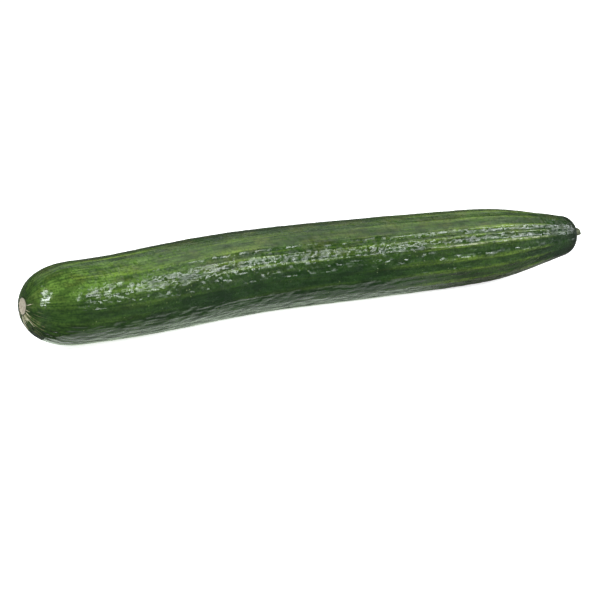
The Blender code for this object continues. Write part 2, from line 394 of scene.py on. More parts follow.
def fruit_points():
    """Points of every ring, the same points on a straightened fruit, and the rib crests."""
    angle, x = np.meshgrid(rib_angles(), profile[:, 0])
    radius = np.broadcast_to(profile[:, 1:], x.shape)
    share = np.clip(x / LENGTH, 0, 1)
    crests = rib_crests(angle)
    height = LOBE_HEIGHT * np.cos(3 * angle + LOBE_TURN)
    height += rib_height_at(share) * (crests - RIB_GROOVE)
    height += swelling_relief(x, angle, radius)
    fade = np.clip((radius - CROWN_RADIUS) / FADE_RADIUS, 0, 1)
    radius = radius + height * fade**2 * (3 - 2 * fade)
    middle, across, up = spine_frames(profile[:, 0])
    turned = angle + RIB_TWIST * (1 - x / LENGTH)
    cosine, sine = np.cos(turned)[..., None], np.sin(turned)[..., None]
    points = middle[:, None] + radius[..., None] * (across[:, None] * cosine + up[:, None] * sine)
    straight = np.stack([x, radius * np.cos(turned), radius * np.sin(turned)], axis=-1)
    return points, straight, crests


def grid_mesh(name, points, tips):
    """A closed mesh through rings of points, with a fan of triangles round each tip."""
    rings, segments = points.shape[:2]
    first = np.arange(rings * segments).reshape(rings, segments)
    after = np.roll(first, -1, axis=1)
    quads = np.stack([first[:-1], after[:-1], after[1:], first[1:]], axis=-1).reshape(-1, 4)
    start, end = rings * segments, rings * segments + 1
    fans = [(start, b, a) for a, b in zip(first[0].tolist(), after[0].tolist())]
    fans += [(end, a, b) for a, b in zip(first[-1].tolist(), after[-1].tolist())]
    mesh = bpy.data.meshes.new(name)
    mesh.from_pydata(np.concatenate([points.reshape(-1, 3), tips]).tolist(), [], quads.tolist() + fans)
    mesh.shade_smooth()
    return mesh


def put_attribute(mesh, name, kind, values):
    """Stores one value or vector for each point of the mesh."""
    field = "vector" if kind == "FLOAT_VECTOR" else "value"
    attribute = mesh.attributes.new(name, kind, "POINT")
    attribute.data.foreach_set(field, np.ascontiguousarray(values, dtype=np.float32).ravel())


def make_fruit_mesh():
    """The fine fruit, moved to where the frame has its solid."""
    points, straight, crests = fruit_points()
    low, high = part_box("fruit")
    first, last = points.min(axis=(0, 1)), points.max(axis=(0, 1))
    shift = np.array([low[0] - first[0], (low[1] + high[1] - first[1] - last[1]) / 2, 0])
    points = points + shift
    tips = points[[0, -1]].mean(axis=1)
    mesh = grid_mesh("fruit", points, tips)
    tip_straight = [(profile[0, 0], 0, 0), (profile[-1, 0], 0, 0)]
    straight = np.concatenate([straight.reshape(-1, 3), tip_straight])
    put_attribute(mesh, "straight", "FLOAT_VECTOR", straight)
    put_attribute(mesh, "rib", "FLOAT", np.concatenate([crests.ravel(), [0, 0]]))
    return mesh, Vector(shift)


fruit_mesh, frame_shift = make_fruit_mesh()
print("fruit moved in mm by:", [round(1000 * value, 2) for value in frame_shift])

# %% [markdown]
# ## Fine wrinkles by Geometry Nodes
# Fine wrinkles run along the skin, low pebbles break up its reflections, and a few small warts are left
# where the young fruit had its prickles. All three follow a rule, so a node tree makes them: it pushes
# every point out along its normal by a sum of noises, read on the straightened fruit. The sizes are inputs
# of the tree, so that the skin can be tuned in one place.

# %% Skin relief tree
RELIEF_SIZES = {
    "Wrinkle height": 0.30 * MM,
    "Wrinkle width": 2.6 * MM,
    "Wrinkle length": 15 * MM,
    "Pebble height": 0.36 * MM,
    "Pebble size": 3.4 * MM,
    "Wart height": 0.34 * MM,
    "Wart spacing": 13 * MM,
    "Wart radius": 1.3 * MM,
    "Pattern seed": 3.0,
}
SEED_SHIFT = 0.37  # how far one step of the seed moves the patterns
PEBBLE_STRETCH = (0.6, 1.0, 1.0)
SCAR_BORDER = 4 * MM  # the relief fades in over this width round the scar


def new_group(kind, name, inputs, outputs):
    """The tree helper of a new node group, and the sockets that its inputs are read from."""
    group = bpy.data.node_groups.new(name, kind)
    for in_out, sockets in (("INPUT", inputs), ("OUTPUT", outputs)):
        for socket, holds in sockets.items():
            group.interface.new_socket(socket, in_out=in_out, socket_type="NodeSocket" + holds)
    return Tree(group), group.nodes.new("NodeGroupInput").outputs


def new_mesh_tree(name, sizes, others=None):
    """A Geometry Nodes group with a mesh, these sizes, perhaps some others, and a material as inputs."""
    inputs = {"Geometry": "Geometry", **dict.fromkeys(sizes, "Float"), **(others or {})}
    outputs = {"Geometry": "Geometry"}
    return new_group("GeometryNodeTree", name, {**inputs, "Material": "Material"}, outputs)


def finish_mesh_tree(tree, geometry, material):
    """Ends a tree with real geometry that wears the material, and returns the node group."""
    real = tree.add("GeometryNodeRealizeInstances", {"Geometry": geometry})
    painted = tree.add("GeometryNodeSetMaterial", {"Geometry": real, "Material": material})
    tree.add("NodeGroupOutput", {"Geometry": painted})
    return tree.tree


def store_value(tree, geometry, name, value):
    """Keeps a number with each point of the geometry, under a name."""
    return tree.add("GeometryNodeStoreNamedAttribute", {"Geometry": geometry, "Name": name, "Value": value})


def relief_height(tree, entry):
    """The sum of the wrinkles, the pebbles and the warts at each point."""
    straight = tree.add("GeometryNodeInputNamedAttribute", {"Name": "straight"}, data_type="FLOAT_VECTOR")
    x, y, z = tree.parts(straight)
    outward = tree.vector("NORMALIZE", tree.join(0.0, y, z))
    seed = tree.times(entry["Pattern seed"], SEED_SHIFT)
    around = tree.scaled(outward, tree.math("DIVIDE", GIRTH_RADIUS, entry["Wrinkle width"]))
    along = tree.math("DIVIDE", x, entry["Wrinkle length"])
    grain = tree.vector("ADD", around, tree.join(along, seed, seed))
    wrinkles = tree.math("SUBTRACT", tree.noise(grain, 1.0, detail=3.0, roughness=0.55), 0.5)
    size = tree.math("DIVIDE", 1.0, entry["Pebble size"])
    pebble_place = tree.vector("MULTIPLY", straight, PEBBLE_STRETCH)
    pebbles = tree.math("SUBTRACT", tree.noise(pebble_place, size), 0.5)
    spacing = tree.math("DIVIDE", 1.0, entry["Wart spacing"])
    nearest = tree.cells(tree.vector("ADD", straight, tree.join(seed, 0.0, 0.0)), spacing)
    reach = tree.math("DIVIDE", entry["Wart radius"], entry["Wart spacing"])
    warts = tree.step(tree.math("DIVIDE", nearest, reach), 1.0, 0.0)
    total = tree.times(wrinkles, entry["Wrinkle height"])
    total = tree.scale_add(pebbles, entry["Pebble height"], total)
    total = tree.scale_add(warts, entry["Wart height"], total)
    from_axis = tree.length(tree.join(0.0, y, z))
    return tree.times(total, tree.step(from_axis, SCAR_RADIUS, SCAR_RADIUS + SCAR_BORDER))


def build_relief_tree():
    """Pushes the skin out by its relief, and keeps the belly flat on the table."""
    tree, entry = new_mesh_tree("skin relief", RELIEF_SIZES)
    offset = tree.scaled(tree.add("GeometryNodeInputNormal"), relief_height(tree, entry))
    pushed = tree.add("GeometryNodeSetPosition", {"Geometry": entry["Geometry"], "Offset": offset})
    x, y, z = tree.parts(tree.add("GeometryNodeInputPosition"))
    on_table = tree.join(x, y, tree.math("MAXIMUM", z, 0.0))
    pressed = tree.add("GeometryNodeSetPosition", {"Geometry": pushed, "Position": on_table})
    return finish_mesh_tree(tree, pressed, entry["Material"])


relief_tree = build_relief_tree()
print("skin relief tree:", len(relief_tree.nodes), "nodes")

# %% [markdown]
# ## Patterns shared by the materials
# Skin and stem grew as bundles of fibres, so one shader group draws fine threads along either. A second
# scatters round spots: the breathing pores and, larger and wider apart, the blemishes. A third crumples the
# wax into soft lumps, lens-shaped creases and glossier patches, which breaks a reflection up into sparkles.
# The groups only put out masks and values. Each material decides what colour, gloss and height they become.

# %% Shader groups
THREAD_SPLIT = (2.0, 3.1, 3.1)  # fine threads to one thread, along it and round the piece
SPOT_CORE = 0.4  # the share of a spot's radius that is full
SPOT_CLUSTERS = 90.0  # patches with and without spots, per metre
BEAD_DEPTH = -0.55
CREASE_STRETCH = (0.48, 1.6, 1.6)
PATCH_STRETCH = (0.9, 1.3, 1.3)


def build_threads_group():
    """Threads that run along X, with the same number of them round the piece everywhere."""
    inputs = {"Place": "Vector", "Count": "Float", "Length": "Float"}
    outputs = {"Threads": "Float", "Fine threads": "Float"}
    tree, entry = new_group("ShaderNodeTree", "threads", inputs, outputs)
    x, y, z = tree.parts(entry["Place"])
    outward = tree.vector("NORMALIZE", tree.join(0.0, y, z))
    around = tree.scaled(outward, tree.math("DIVIDE", entry["Count"], math.tau))
    along = tree.join(tree.math("DIVIDE", x, entry["Length"]), 0.0, 0.0)
    place = tree.vector("ADD", around, along)
    threads = tree.noise(place, 1.0, distortion=0.2)
    fine = tree.noise(tree.vector("MULTIPLY", place, THREAD_SPLIT), 1.0, roughness=0.6)
    tree.add("NodeGroupOutput", {"Threads": threads, "Fine threads": fine})
    return tree.tree


def build_spots_group():
    """Small round spots, scattered with gaps, as a mask."""
    inputs = {"Place": "Vector", "Spacing": "Float", "Size": "Float"}
    tree, entry = new_group("ShaderNodeTree", "spots", inputs, {"Spots": "Float"})
    nearest = tree.cells(entry["Place"], tree.math("DIVIDE", 1.0, entry["Spacing"]))
    reach = tree.math("DIVIDE", entry["Size"], entry["Spacing"])
    spots = tree.step(tree.math("DIVIDE", nearest, reach), 1.0, SPOT_CORE)
    patchy = tree.step(tree.noise(entry["Place"], SPOT_CLUSTERS), 0.45, 0.6)
    tree.add("NodeGroupOutput", {"Spots": tree.times(spots, patchy)})
    return tree.tree


def build_crumple_group():
    """Soft beaded lumps, lens-shaped creases along X, and patches that mirror a light."""
    inputs = {"Place": "Vector", "Size": "Float"}
    outputs = {"Lumps": "Float", "Creases": "Float", "Patches": "Float"}
    tree, entry = new_group("ShaderNodeTree", "crumple", inputs, outputs)
    place = tree.scaled(entry["Place"], tree.math("DIVIDE", 1.0, entry["Size"]))
    lumps = tree.noise(place, 0.9, detail=1.0, roughness=0.45, distortion=0.4)
    beads = tree.cells(place, 1.25, feature="SMOOTH_F1")
    lumps = tree.scale_add(beads, BEAD_DEPTH, lumps)
    creases = tree.noise(tree.vector("MULTIPLY", place, CREASE_STRETCH), 1.0, detail=1.0, roughness=0.4)
    patches = tree.noise(tree.vector("MULTIPLY", place, PATCH_STRETCH), 1.0, roughness=0.6)
    tree.add("NodeGroupOutput", {"Lumps": lumps, "Creases": creases, "Patches": patches})
    return tree.tree


def new_material(name):
    """An empty material, its tree helper and its Principled shader."""
    material = bpy.data.materials.new(name)
    material.use_nodes = True
    return material, Tree(material.node_tree), material.node_tree.nodes["Principled BSDF"]


def place_group(tree, group, place, sizes):
    """Puts a shader group in a material and returns its outputs."""
    node = tree.tree.nodes.new("ShaderNodeGroup")
    node.node_tree = group
    tree.fill(node, {"Place": place, **sizes})
    return node.outputs


def add_bump(tree, shader, height, distance):
    """A bump whose height of 1 stands for this distance."""
    bump = tree.add("ShaderNodeBump", {"Distance": distance, "Height": height})
    tree.feed(shader.inputs["Normal"], bump)


threads_group = build_threads_group()
spots_group = build_spots_group()
crumple_group = build_crumple_group()
print("shader groups:", [group.name for group in (threads_group, spots_group, crumple_group)])

# %% [markdown]
# ## The green of the skin
# The skin is a clear wax over green tissue, brighter and yellower at the blossom end, mottled with olive,
# and drawn out into streaks and fine lines. Light and shade are painted into the green as well: painted
# light makes the upper side brighter than the belly and lifts the lower side of the neck, and painted shade
# darkens a strip along the top of the blossom half and the crown. The crests of the ribs are paler near the
# neck, as broken lines, and pores make pale dots. It is built like glazes of paint: each layer is a mask and
# a colour that is laid over the last one.

# %% Skin colours
DARK_GREEN = (0.008, 0.026, 0.006)
MID_GREEN = (0.02, 0.055, 0.01)
# bright green of the blossom end, also used as painted light on the top and the lower neck
BRIGHT_AND_LIT_GREEN = (0.12, 0.22, 0.038)
STREAK_GREEN = (0.2, 0.31, 0.04)
# painted shade: the crown is painted almost black
CROWN_SHADE_GREEN = (0.004, 0.01, 0.002)
OLIVE = (0.085, 0.1, 0.022)
CREST_COLOUR = (0.42, 0.45, 0.26)
PORE_COLOUR = (0.3, 0.36, 0.15)

# Where a change begins and ends: x from the blossom end, y and z from the middle line
BLOSSOM_X = (110 * MM, 5 * MM)
NECK_X = (265 * MM, 318 * MM)
CROWN_SHADE_X = (314 * MM, 326 * MM)
RIB_LINES_BEGIN_X = (190 * MM, 250 * MM)
RIB_LINES_END_X = (312 * MM, 292 * MM)
# a painted shade strip along the top of the blossom half
SHADE_STRIP_Y = (-4 * MM, -11 * MM)
SHADE_STRIP_END_X = (180 * MM, 230 * MM)
# the upper side, where the painted top light comes in
UPPER_Z = (-3 * MM, 16 * MM)
# painted light on the lower side of the neck
LIT_NECK_BELOW_Z = (8 * MM, -2 * MM)

# Each noise of the skin: its stretch along the fruit, grains per metre, detail and roughness
SKIN_NOISES = {
    "mottle": (0.4, 230.0, 4.0, 0.62),
    "olive": (0.5, 150.0, 3.0, 0.60),
    "crest gaps": (0.6, 420.0, 3.0, 0.50),
    "grain": (1.0, 1000.0, 2.0, 0.50),
    "scar edge": (1.0, 900.0, 3.0, 0.50),
    "cork": (1.0, 1300.0, 4.0, 0.50),
    "russet gaps": (1.0, 350.0, 2.0, 0.50),
    "grit": (1.0, 1500.0, 2.0, 0.60),
}
SKIN_THREADS = {"Count": 46.0, "Length": 60 * MM}
PORES = {"Spacing": 2.6 * MM, "Size": 0.42 * MM}
BLEMISHES = {"Spacing": 13 * MM, "Size": 0.9 * MM}
LUMPS = {"Size": 3.7 * MM}


def skin_masks(tree, place):
    """Every mask and noise of the skin, by name."""
    masks = {"rib": tree.add("ShaderNodeAttribute", output="Fac", attribute_name="rib")}
    for name, (stretch, *settings) in SKIN_NOISES.items():
        masks[name] = tree.noise(tree.vector("MULTIPLY", place, (stretch, 1.0, 1.0)), *settings)
    masks["threads"], masks["fine threads"] = place_group(tree, threads_group, place, SKIN_THREADS)
    masks["lumps"], masks["creases"], masks["patches"] = place_group(tree, crumple_group, place, LUMPS)
    masks["pores"] = place_group(tree, spots_group, place, PORES)[0]
    masks["blemishes"] = place_group(tree, spots_group, place, BLEMISHES)[0]
    return masks


def bright_and_lit_share(tree, place, upper, ribbed, mottle):
    """Bright blossom green, painted light on the top and lower neck, less in a painted shade strip."""
    x, y, z = place
    blossom = tree.step(x, *BLOSSOM_X)
    beside_shade_strip = tree.math("MAXIMUM", tree.step(y, *SHADE_STRIP_Y), tree.step(x, *SHADE_STRIP_END_X))
    # painted light: the upper side is painted brighter, as if lit from above
    bright = tree.times(upper, tree.scale_add(blossom, 0.54, 0.21))
    # painted shade: a strip along the top of the blossom half is painted darker
    bright = tree.times(bright, tree.step(beside_shade_strip, 0.0, 1.0, 0.3, 1.0))
    bright = tree.scale_add(blossom, 0.15, bright)
    # painted light: the lower side of the neck is painted brighter, for light reflected from below
    bright = tree.scale_add(tree.times(ribbed, tree.step(z, *LIT_NECK_BELOW_Z)), 0.16, bright)
    return tree.times(bright, tree.step(mottle, 0.34, 0.66, 0.5, 1.5))


def skin_green(tree, place, masks):
    """The green of the skin with its painted light and shade, without the scar."""
    x, _, z = place
    rib, mottle, fine = masks["rib"], masks["mottle"], masks["fine threads"]
    upper = tree.step(z, *UPPER_Z)
    before_neck = tree.step(x, *NECK_X, 1.0, 0.0)
    ribbed = tree.times(tree.step(x, *RIB_LINES_BEGIN_X), tree.step(x, *RIB_LINES_END_X))
    bright = bright_and_lit_share(tree, place, upper, ribbed, mottle)
    olive = tree.times(tree.step(masks["olive"], 0.46, 0.66, 0.0, 0.5), upper)
    streaks = tree.times(tree.step(masks["threads"], 0.48, 0.72), tree.step(rib, 0.15, 0.7, 0.25, 1.0))
    streaks = tree.times(streaks, tree.scale_add(upper, 0.65, 0.12), before_neck)
    flanks = tree.times(tree.step(rib, 0.25, 0.75), ribbed, tree.step(mottle, 0.35, 0.6, 0.15, 0.55))
    broken = tree.step(masks["crest gaps"], 0.42, 0.6)
    layers = (
        (tree.step(mottle, 0.33, 0.67), MID_GREEN),
        (tree.times(bright, before_neck), BRIGHT_AND_LIT_GREEN),
        (olive, OLIVE),
        (streaks, STREAK_GREEN),
        (flanks, STREAK_GREEN),
        (tree.times(tree.step(rib, 0.80, 1.0), ribbed, broken, 0.85), CREST_COLOUR),
        (tree.step(fine, 0.50, 0.36, 0.0, 0.5), DARK_GREEN),
        (tree.times(tree.step(fine, 0.56, 0.68, 0.0, 0.22), upper), STREAK_GREEN),
        (tree.step(masks["grain"], 0.56, 0.36, 0.0, 0.5), DARK_GREEN),
        # painted shade round the crown
        (tree.step(x, *CROWN_SHADE_X, 0.0, 0.92), CROWN_SHADE_GREEN),
        (tree.times(masks["pores"], 0.5), PORE_COLOUR),
    )
    green = DARK_GREEN
    for share, colour in layers:
        green = tree.mix(share, green, colour)
    return green


print("skin noises:", ", ".join(SKIN_NOISES))

# %% [markdown]
# ## The scar and the wax
# The blossom scar is a disc of pale cork with a ragged edge and a dark rim, and russet threads run out from
# it over the lower half of the dome. The wax is glossy in patches, duller between them, and quite dull at
# the crown. A bump finer than the mesh could carry crumples it, mostly on the side, so that a light shows
# in it as many sparkles and not as one stripe.

# %% Skin material
CORK_PALE = (0.6, 0.53, 0.43)
CORK_DARK = (0.4, 0.33, 0.24)
RIM_COLOUR = (0.02, 0.03, 0.008)
RUSSET = (0.33, 0.3, 0.15)
SCAR_X = (40 * MM, 20 * MM)  # nothing of the scar shows past this
SCAR_RAGGEDNESS = 1.4 * MM
SCAR_EDGE = (4.7 * MM, 4.3 * MM)
RIM_EDGE = (5.9 * MM, 5.1 * MM)
RUSSET_REACH = (18 * MM, 9 * MM)
RUSSET_Z = (2 * MM, -4 * MM)
BUMP_DEPTH = 1.85 * MM
WAX_IOR = 1.38

# Changes of the wax: where each begins and ends, and its value before and after
DULL_X = (170 * MM, 300 * MM, 0.28, 0.37)
DULL_BELLY_Z = (-12 * MM, -5 * MM, 0.6, 1.0)
DULL_DOME_X = (28 * MM, 50 * MM, 0.5, 1.0)
DULL_CROWN_X = (321 * MM, 328 * MM, 0.0, 0.8)
MIRROR_ROUGHNESS = 0.08
LUMPS_TOP_Z = (10 * MM, 17 * MM, 0.47, 0.13)
LUMPS_BELLY_Z = (-3 * MM, 4 * MM, 0.3, 1.0)
LUMPS_DOME_X = (14 * MM, 40 * MM, 0.36, 1.0)
CREASES_Z = (0.0, -13 * MM, 0.20, 0.65)


def paint_scar(tree, place, masks, green):
    """Lays russet threads, rim and cork over the green, and returns the cork's mask as well."""
    x, y, z = place
    from_axis = tree.length(tree.join(0.0, y, z))
    at_end = tree.step(x, *SCAR_X)
    ragged = tree.scale_add(masks["scar edge"], SCAR_RAGGEDNESS, from_axis)
    disc = tree.times(tree.step(ragged, *SCAR_EDGE), at_end)
    rim = tree.times(tree.step(ragged, *RIM_EDGE), at_end, 0.6)
    near = tree.times(tree.step(from_axis, *RUSSET_REACH), tree.step(z, *RUSSET_Z, 0.1, 1.0), at_end)
    gaps = tree.step(masks["russet gaps"], 0.40, 0.60)
    russet = tree.times(tree.step(masks["fine threads"], 0.52, 0.60, 0.0, 0.7), near, gaps)
    cork = tree.mix(tree.step(masks["cork"], 0.35, 0.6), CORK_DARK, CORK_PALE)
    rimmed = tree.mix(rim, tree.mix(russet, green, RUSSET), RIM_COLOUR)
    return tree.mix(disc, rimmed, cork), disc


def wax_roughness(tree, place, patches):
    """How dull the wax is."""
    x, _, z = place
    dull = tree.step(patches, 0.44, 0.56, tree.step(x, *DULL_X), MIRROR_ROUGHNESS)
    dull = tree.times(dull, tree.step(z, *DULL_BELLY_Z), tree.step(x, *DULL_DOME_X))
    return tree.math("MAXIMUM", dull, tree.step(x, *DULL_CROWN_X))


def wax_relief(tree, place, masks):
    """Height of the crumpled wax, with fine lines and grit."""
    x, _, z = place
    lumpy = tree.times(tree.step(z, *LUMPS_TOP_Z), tree.step(z, *LUMPS_BELLY_Z))
    lumpy = tree.times(lumpy, tree.step(x, *LUMPS_DOME_X))
    height = tree.times(masks["creases"], tree.step(z, *CREASES_Z))
    height = tree.scale_add(masks["lumps"], lumpy, height)
    height = tree.scale_add(masks["fine threads"], 0.08, height)
    return tree.scale_add(masks["grit"], 0.03, height)


def make_skin():
    """Waxy green skin with olive patches, streaks, pale crests, pores, blemishes and a corky scar."""
    material, tree, shader = new_material("skin")
    straight = tree.add("ShaderNodeAttribute", output="Vector", attribute_name="straight")
    place = tree.parts(straight)
    masks = skin_masks(tree, straight)
    green = tree.mix(tree.times(masks["blemishes"], 0.7), skin_green(tree, place, masks), RIM_COLOUR)
    colour, cork = paint_scar(tree, place, masks, green)
    roughness = tree.scale_add(cork, 0.30, wax_roughness(tree, place, masks["patches"]))
    tree.fill(shader, {"Base Color": colour, "Roughness": roughness, "IOR": WAX_IOR})
    add_bump(tree, shader, wax_relief(tree, place, masks), BUMP_DEPTH)
    return material


skin = make_skin()
print("skin nodes:", len(skin.node_tree.nodes))

# %% [markdown]
# ## Putting the skin on the fruit
# Each node tree is run once on its own mesh and the result is kept as a plain mesh, so that the finished
# piece doesn't depend on a live modifier. The fine fruit then takes the place of the frame's solid.

# %% Finish the fruit
def apply_tree(name, mesh, tree, values):
    """Runs a node tree on a mesh with these named inputs, and returns a plain mesh object."""
    source = put_in_scene(name + "_source", mesh)
    modifier = source.modifiers.new(tree.name, "NODES")
    modifier.node_group = tree
    for item in tree.interface.items_tree:
        if item.in_out == "INPUT" and item.name in values:
            modifier[item.identifier] = values[item.name]
    evaluated = source.evaluated_get(bpy.context.evaluated_depsgraph_get())
    result = bpy.data.meshes.new_from_object(evaluated)
    result.name = name
    bpy.data.objects.remove(source)
    return put_in_scene(name, result)


fruit = apply_tree("fruit_skin", fruit_mesh, relief_tree, {**RELIEF_SIZES, "Material": skin})
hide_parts("fruit")
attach(fruit, "root")
print("fruit skin:", len(fruit.data.polygons), "faces")

# %% [markdown]
# ## The stem
# A short stub of the five-angled stalk is left, with a dry slanting cut. A node tree makes it from a plain
# cylinder: one formula gives the radius at each place, with five soft angles, fine fibres and a swollen end,
# and the tree then leans it and slants and hollows the cut. Its origin is the middle of the crown's top.

# %% Stem tree
STEM_SIZES = {
    "Length": 4.6 * MM,
    "Radius": 1.75 * MM,
    "Angle height": 0.26 * MM,
    "Fibre height": 0.16 * MM,
    "Cut slant": 0.35,
    "Cut dish": 0.3 * MM,
}
ROOT_GAP = 0.3 * MM
ROOT_DEPTH = SOCKET_DEPTH - ROOT_GAP
STEM_ANGLES = 5
STEM_LEAN = (0.0, 0.10, 0.16)
STEM_SWELL = 0.16
STEM_GRID = {"Vertices": 120, "Side Segments": 64, "Fill Segments": 12}

# Shares of the way from the root to the cut, and from the axis to the side
ANGLES_BEGIN = (0.2, 0.53)
SWELL_BEGINS = (0.375, 1.0)
CUT_BEGINS = (0.995, 1.0)
CUT_HOLLOW = (0.9, 0.2)
CUT_EDGE = (1.0, 0.86)


def stem_radius(tree, entry, angle, share):
    """Radius at an angle and a share of the way from the root to the cut."""
    swollen = tree.scale_add(tree.step(share, *SWELL_BEGINS), STEM_SWELL, 1.0)
    corner = tree.math("COSINE", tree.times(angle, STEM_ANGLES))
    height = tree.times(tree.scale_add(corner, 0.5, 0.5), entry["Angle height"])
    round_place = tree.join(*tree.circle(angle, 1.0), tree.times(share, 0.5))
    fibres = tree.math("SUBTRACT", tree.noise(round_place, 5.5, detail=3.0, roughness=0.6), 0.5)
    height = tree.scale_add(fibres, entry["Fibre height"], height)
    relief = tree.times(height, tree.step(share, *ANGLES_BEGIN))
    return tree.scale_add(entry["Radius"], swollen, relief)


def build_stem_tree():
    """A stalk along X, from its root in the socket to its cut."""
    tree, entry = new_mesh_tree("stem stub", STEM_SIZES)
    sides = {"Radius": 1.0, "Depth": 1.0, **STEM_GRID}
    cylinder = tree.add("GeometryNodeMeshCylinder", sides, output="Mesh", fill_type="TRIANGLE_FAN")
    a, b, c = tree.parts(tree.add("GeometryNodeInputPosition"))
    share = tree.math("ADD", c, 0.5)
    reach = tree.length(tree.join(a, b, 0.0))
    angle = tree.math("ARCTAN2", b, a)
    radius = tree.times(stem_radius(tree, entry, angle, share), reach)
    y, z = tree.circle(angle, radius)
    run = tree.math("ADD", entry["Length"], ROOT_DEPTH)
    x = tree.math("SUBTRACT", tree.times(share, run), ROOT_DEPTH)
    past_crown = tree.math("MAXIMUM", x, 0.0)
    slant = tree.times(tree.math("DIVIDE", past_crown, entry["Length"]), entry["Cut slant"], z)
    at_cut = tree.step(share, *CUT_BEGINS)
    hollow = tree.times(tree.step(reach, *CUT_HOLLOW), entry["Cut dish"], at_cut)
    x = tree.math("SUBTRACT", tree.math("SUBTRACT", x, slant), hollow)
    place = tree.vector("ADD", tree.join(x, y, z), tree.scaled(STEM_LEAN, past_crown))
    shaped = tree.add("GeometryNodeSetPosition", {"Geometry": cylinder, "Position": place})
    stored = store_value(tree, shaped, "cut", tree.times(at_cut, tree.step(reach, *CUT_EDGE)))
    smooth = tree.add("GeometryNodeSetShadeSmooth", {"Geometry": stored})
    return finish_mesh_tree(tree, smooth, entry["Material"])


stem_tree = build_stem_tree()
print("stem tree:", len(stem_tree.nodes), "nodes")

# %% [markdown]
# ## Finishing the stem
# Its side is dry fibre in two grey-greens, darker at the foot, where the crown shades it. Its cut face is
# paler and browner, and is marked with an attribute that the material reads.

# %% Stem material
STEM_GREEN = (0.05, 0.062, 0.026)
STEM_PALE = (0.15, 0.165, 0.085)
STEM_FOOT = (0.012, 0.02, 0.006)
CUT_PALE = (0.3, 0.31, 0.19)
CUT_BROWN = (0.1, 0.095, 0.04)
STEM_THREADS = {"Count": 40.0, "Length": 5 * MM}
STEM_ROUGHNESS = 0.55
STEM_BUMP = 0.12 * MM
FOOT_SHADE = (2.6 * MM, 0.4 * MM)


def make_stem_material(foot):
    """Dry grey-green fibres, darker at the foot, with a paler cut face."""
    material, tree, shader = new_material("stem")
    place = tree.add("ShaderNodeTexCoord", output="Object")
    cut = tree.add("ShaderNodeAttribute", output="Fac", attribute_name="cut")
    moved = tree.vector("SUBTRACT", place, tuple(foot))
    threads, fine_threads = place_group(tree, threads_group, moved, STEM_THREADS)
    side = tree.mix(tree.step(threads, 0.38, 0.62), STEM_GREEN, STEM_PALE)
    height, _, _ = tree.parts(moved)
    side = tree.mix(tree.step(height, *FOOT_SHADE, 0.0, 0.8), side, STEM_FOOT)
    face = tree.mix(tree.step(tree.noise(place, 2600.0, detail=3.0), 0.35, 0.6), CUT_BROWN, CUT_PALE)
    tree.fill(shader, {"Base Color": tree.mix(cut, side, face), "Roughness": STEM_ROUGHNESS})
    add_bump(tree, shader, fine_threads, STEM_BUMP)
    return material


crown_top = spine_frames(np.array([LENGTH + CROWN_HEIGHT]))[0][0]
stem_foot = Vector(crown_top) + frame_shift
stem_values = {**STEM_SIZES, "Material": make_stem_material(stem_foot)}
stem = apply_tree("stem_stub", bpy.data.meshes.new("stem_start"), stem_tree, stem_values)
for vertex in stem.data.vertices:
    vertex.co += stem_foot
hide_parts("stem")
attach(stem, "root")
print("stem:", len(stem.data.polygons), "faces, foot at", [round(1000 * v, 1) for v in stem_foot], "mm")

# %% [markdown]
# ## Cracks round the scar
# Where the flower sat, the skin dried and split into thin corky cracks that run out over the dome. A node
# tree starts each one as a straight line outwards from the scar, shakes it by a noise, drops it onto the
# real skin, and gives it a round profile that narrows to nearly nothing at both ends.

# %% Crack tree
CRACK_SIZES = {
    "Side": 3.9,
    "Inner radius": 4.2 * MM,
    "Longest": 8.5 * MM,
    "Width": 0.42 * MM,
    "Wander": 2.2 * MM,
}
CRACK_NUMBERS = {"Count": 13, "Crack seed": 5}
CRACK_SPREAD = 1.5  # radians to both sides
CRACK_SHORTEST = 0.2  # as a share of the longest
CRACK_POINTS = 24
CRACK_CORNERS = 8
CRACK_KINK = 3 * MM  # the length over which one turns aside
CRACK_TAPER = (2.9, 0.2)  # the sine that swells it runs from 0.2 to 3.1 radians
DROP_START = 20 * MM
DROP_LENGTH = 80 * MM


def random_value(tree, low, high, index, seed):
    """A seeded number between low and high for each index. Its sockets are found by number."""
    return tree.add("FunctionNodeRandomValue", {2: low, 3: high, 7: index, 8: seed}, output=1)


def crack_starts(tree, entry):
    """A straight line for each crack, which stores its angle round the scar and its length."""
    index = tree.add("GeometryNodeInputIndex")
    seed = entry["Crack seed"]
    turn = tree.math("ADD", entry["Side"], random_value(tree, -CRACK_SPREAD, CRACK_SPREAD, index, seed))
    size = random_value(tree, CRACK_SHORTEST, 1.0, index, tree.math("ADD", seed, 1.0))
    points = tree.add("GeometryNodePoints", {"Count": entry["Count"]})
    points = store_value(tree, points, "turn", turn)
    points = store_value(tree, points, "reach", tree.times(size, entry["Longest"]))
    line = tree.add("GeometryNodeCurvePrimitiveLine", {"End": (1.0, 0.0, 0.0)})
    line = tree.add("GeometryNodeResampleCurve", {"Curve": line, "Count": CRACK_POINTS})
    placed = tree.add("GeometryNodeInstanceOnPoints", {"Points": points, "Instance": line})
    return tree.add("GeometryNodeRealizeInstances", {"Geometry": placed})


